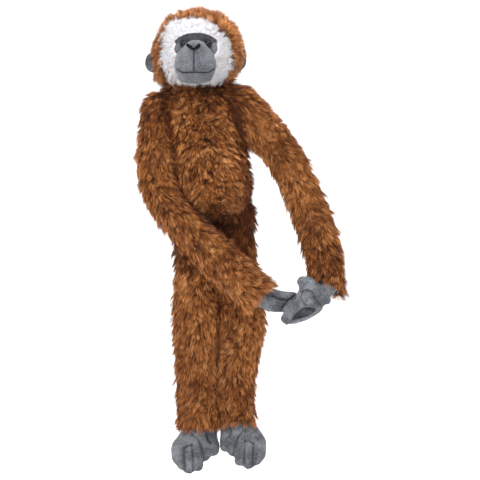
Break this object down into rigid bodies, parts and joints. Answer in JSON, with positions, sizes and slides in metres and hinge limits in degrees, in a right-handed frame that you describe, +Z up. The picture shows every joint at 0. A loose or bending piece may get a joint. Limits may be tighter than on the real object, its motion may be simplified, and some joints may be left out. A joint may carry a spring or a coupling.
{
  "type": "stuffed monkey",
  "caption": "Long-limbed stuffed monkey in shaggy brown plush, with a white face ruff, a grey muzzle, grey hands joined in front and bending limbs",
  "frame": {"origin": "middle of the whole toy's box in X and Y, at the height of the lowest toe", "axes": "+Z up from the toes to the crown, -Y the way the face looks, +X to the toy's left"},
  "size_m": [0.2218, 0.1152, 0.5026],
  "materials": {
    "brown_plush": "matte",
    "white_plush": "matte",
    "grey_velour": "matte",
    "dark_velour": "matte",
    "polyester_fill": "matte",
    "eye_plastic": "gloss",
    "washer_plastic": "matte",
    "black_thread": "matte",
    "fastener_tape": "matte"
  },
  "bodies": {
    "torso": {"torso_skin": "brown_plush", "torso_stuffing": "polyester_fill"},
    "head": {"eye_panel": "grey_velour", "face_ruff": "white_plush", "head_skin": "brown_plush", "head_stuffing": "polyester_fill", "left_ear": "dark_velour", "left_eye": "eye_plastic", "left_eye_washer": "washer_plastic", "mouth_stitching": "black_thread", "muzzle_skin": "grey_velour", "muzzle_stuffing": "polyester_fill", "nose_stitching": "black_thread", "right_ear": "dark_velour", "right_eye": "eye_plastic", "right_eye_washer": "washer_plastic"},
    "right_upper_arm": {"right_upper_arm_skin": "brown_plush", "right_upper_arm_stuffing": "polyester_fill"},
    "right_forearm": {"right_forearm_skin": "brown_plush", "right_forearm_stuffing": "polyester_fill"},
    "right_hand": {"right_hand_skin": "grey_velour", "right_hand_stuffing": "polyester_fill", "right_palm_fastener": "fastener_tape"},
    "right_thigh": {"right_thigh_skin": "brown_plush", "right_thigh_stuffing": "polyester_fill"},
    "right_shin": {"right_shin_skin": "brown_plush", "right_shin_stuffing": "polyester_fill"},
    "right_foot": {"right_foot_skin": "grey_velour", "right_foot_stuffing": "polyester_fill"},
    "left_upper_arm": {"left_upper_arm_skin": "brown_plush", "left_upper_arm_stuffing": "polyester_fill"},
    "left_forearm": {"left_forearm_skin": "brown_plush", "left_forearm_stuffing": "polyester_fill"},
    "left_hand": {"left_hand_skin": "grey_velour", "left_hand_stuffing": "polyester_fill", "left_palm_fastener": "fastener_tape"},
    "left_thigh": {"left_thigh_skin": "brown_plush", "left_thigh_stuffing": "polyester_fill"},
    "left_shin": {"left_shin_skin": "brown_plush", "left_shin_stuffing": "polyester_fill"},
    "left_foot": {"left_foot_skin": "grey_velour", "left_foot_stuffing": "polyester_fill"}
  },
  "joints": [
    {"name": "neck_turn", "type": "hinge", "parent": "torso", "child": "head", "pos_m": [-0.04215, 0.01364, 0.4246], "axis": [0, 0, 1], "range_deg": [-40, 40]},
    {"name": "right_shoulder", "type": "hinge", "parent": "torso", "child": "right_upper_arm", "pos_m": [-0.08415, 0.00564, 0.3956], "axis": [0, 1, 0], "range_deg": [0, 120]},
    {"name": "right_elbow", "type": "hinge", "parent": "right_upper_arm", "child": "right_forearm", "pos_m": [-0.07715, -0.02636, 0.2956], "axis": [0, 1, 0], "range_deg": [0, 70]},
    {"name": "right_wrist", "type": "hinge", "parent": "right_forearm", "child": "right_hand", "pos_m": [0.02885, -0.03036, 0.1916], "axis": [0, 1, 0], "range_deg": [-15, 35]},
    {"name": "right_hip", "type": "hinge", "parent": "torso", "child": "right_thigh", "pos_m": [-0.04915, 0.01564, 0.2836], "axis": [0, 1, 0], "range_deg": [0, 40]},
    {"name": "right_knee", "type": "hinge", "parent": "right_thigh", "child": "right_shin", "pos_m": [-0.04515, 0.01364, 0.1676], "axis": [1, 0, 0], "range_deg": [0, 90]},
    {"name": "right_ankle", "type": "hinge", "parent": "right_shin", "child": "right_foot", "pos_m": [-0.04415, 0.01464, 0.0496], "axis": [-1, 0, 0], "range_deg": [-15, 70]},
    {"name": "left_shoulder", "type": "hinge", "parent": "torso", "child": "left_upper_arm", "pos_m": [0.00185, 0.00764, 0.3966], "axis": [0, -1, 0], "range_deg": [0, 85]},
    {"name": "left_elbow", "type": "hinge", "parent": "left_upper_arm", "child": "left_forearm", "pos_m": [0.06485, -0.00936, 0.3196], "axis": [0, -1, 0], "range_deg": [0, 55]},
    {"name": "left_wrist", "type": "hinge", "parent": "left_forearm", "child": "left_hand", "pos_m": [0.08785, -0.04606, 0.2006], "axis": [0, -1, 0], "range_deg": [-15, 35]},
    {"name": "left_hip", "type": "hinge", "parent": "torso", "child": "left_thigh", "pos_m": [-0.00415, 0.01564, 0.2836], "axis": [0, -1, 0], "range_deg": [0, 40]},
    {"name": "left_knee", "type": "hinge", "parent": "left_thigh", "child": "left_shin", "pos_m": [0.00485, 0.01364, 0.1696], "axis": [1, 0, 0], "range_deg": [0, 90]},
    {"name": "left_ankle", "type": "hinge", "parent": "left_shin", "child": "left_foot", "pos_m": [0.00285, 0.01464, 0.0546], "axis": [-1, 0, 0], "range_deg": [-15, 70]}
  ]
}
